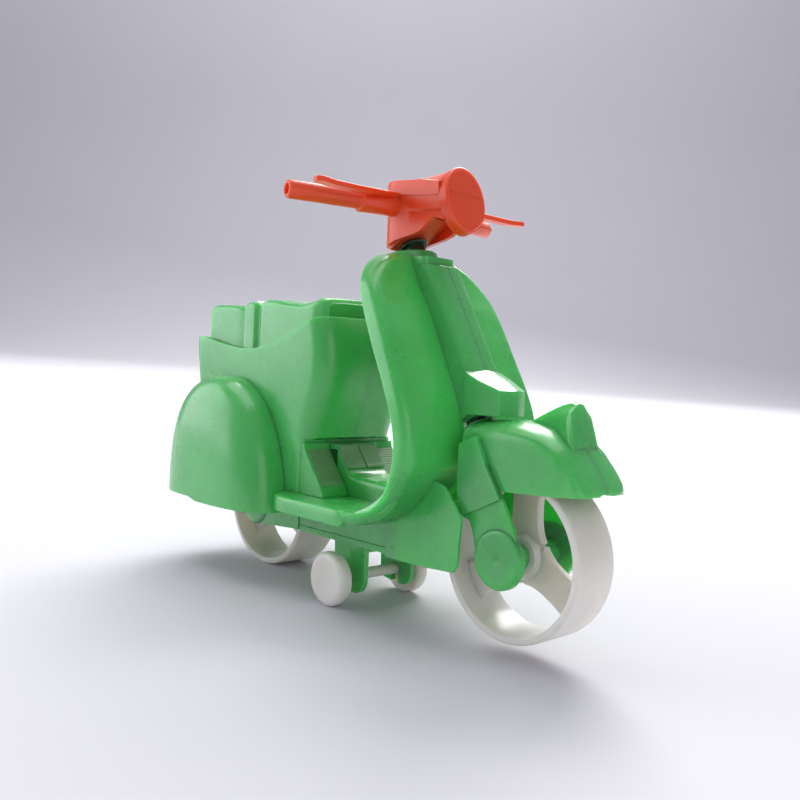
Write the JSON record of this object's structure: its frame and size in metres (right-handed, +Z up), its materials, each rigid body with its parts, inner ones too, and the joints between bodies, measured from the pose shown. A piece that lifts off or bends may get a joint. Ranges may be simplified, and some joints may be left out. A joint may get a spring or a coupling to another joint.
{
  "type": "toy scooter",
  "caption": "Push-along plastic toy scooter with steering front fork, handlebar, spoked wheels and a pair of stabiliser wheels.",
  "frame": {"origin": "on the floor, under the middle of the scooter's overall length, on its centre plane", "axes": "+X towards the front wheel, +Y to the scooter's left, +Z up; the scooter stands nose up by about 2.4 degrees on its rear wheel and stabilisers"},
  "size_m": [0.115, 0.0572, 0.0886],
  "materials": {
    "green_plastic": "soft gloss, slightly translucent",
    "red_plastic": "soft gloss, slightly translucent",
    "dark_green_plastic": "soft gloss",
    "white_plastic": "satin, off-white"
  },
  "bodies": {
    "scooter": {"body_right": "green_plastic", "body_left": "green_plastic", "foot_ramp_right": "green_plastic", "foot_ramp_left": "green_plastic", "floor_tunnel": "green_plastic", "seat": "green_plastic", "cowl_right": "green_plastic", "cowl_left": "green_plastic", "horn_cover": "green_plastic", "column_cap": "green_plastic", "lower_bush": "green_plastic", "chassis_plate": "green_plastic", "bracket_right": "green_plastic", "bracket_left": "green_plastic", "rear_arm_right": "green_plastic", "rear_arm_left": "green_plastic", "assembly_pins": "green_plastic"},
    "front_unit": {"mudguard_right": "green_plastic", "mudguard_left": "green_plastic", "mudguard_crest": "green_plastic", "fork_crown": "green_plastic", "fork_leg_right": "green_plastic", "fork_leg_left": "green_plastic", "steering_post": "dark_green_plastic", "post_clip": "dark_green_plastic", "handlebar_lower": "red_plastic", "handlebar_upper": "red_plastic", "headlight": "red_plastic", "lever_right": "red_plastic", "lever_left": "red_plastic"},
    "front_wheel_body": {"front_wheel": "white_plastic"},
    "rear_wheel_body": {"rear_wheel": "white_plastic"},
    "stabiliser_body": {"stabiliser_axle": "white_plastic", "stabiliser_wheel_right": "white_plastic", "stabiliser_wheel_left": "white_plastic"}
  },
  "joints": [
    {"name": "steering", "type": "hinge", "parent": "scooter", "child": "front_unit", "pos_m": [0.0174, 0, 0.05707], "axis": [-0.5311, 0, 0.8473], "range_deg": [-10, 10]},
    {"name": "front_wheel_spin", "type": "hinge", "parent": "front_unit", "child": "front_wheel_body", "pos_m": [0.04183, 0, 0.01809], "axis": [0, 1, 0], "continuous": true},
    {"name": "rear_wheel_spin", "type": "hinge", "parent": "scooter", "child": "rear_wheel_body", "pos_m": [-0.03261, 0, 0.015], "axis": [0, 1, 0], "continuous": true},
    {"name": "stabiliser_spin", "type": "hinge", "parent": "scooter", "child": "stabiliser_body", "pos_m": [0.00182, 0, 0.00548], "axis": [0, 1, 0], "continuous": true}
  ]
}
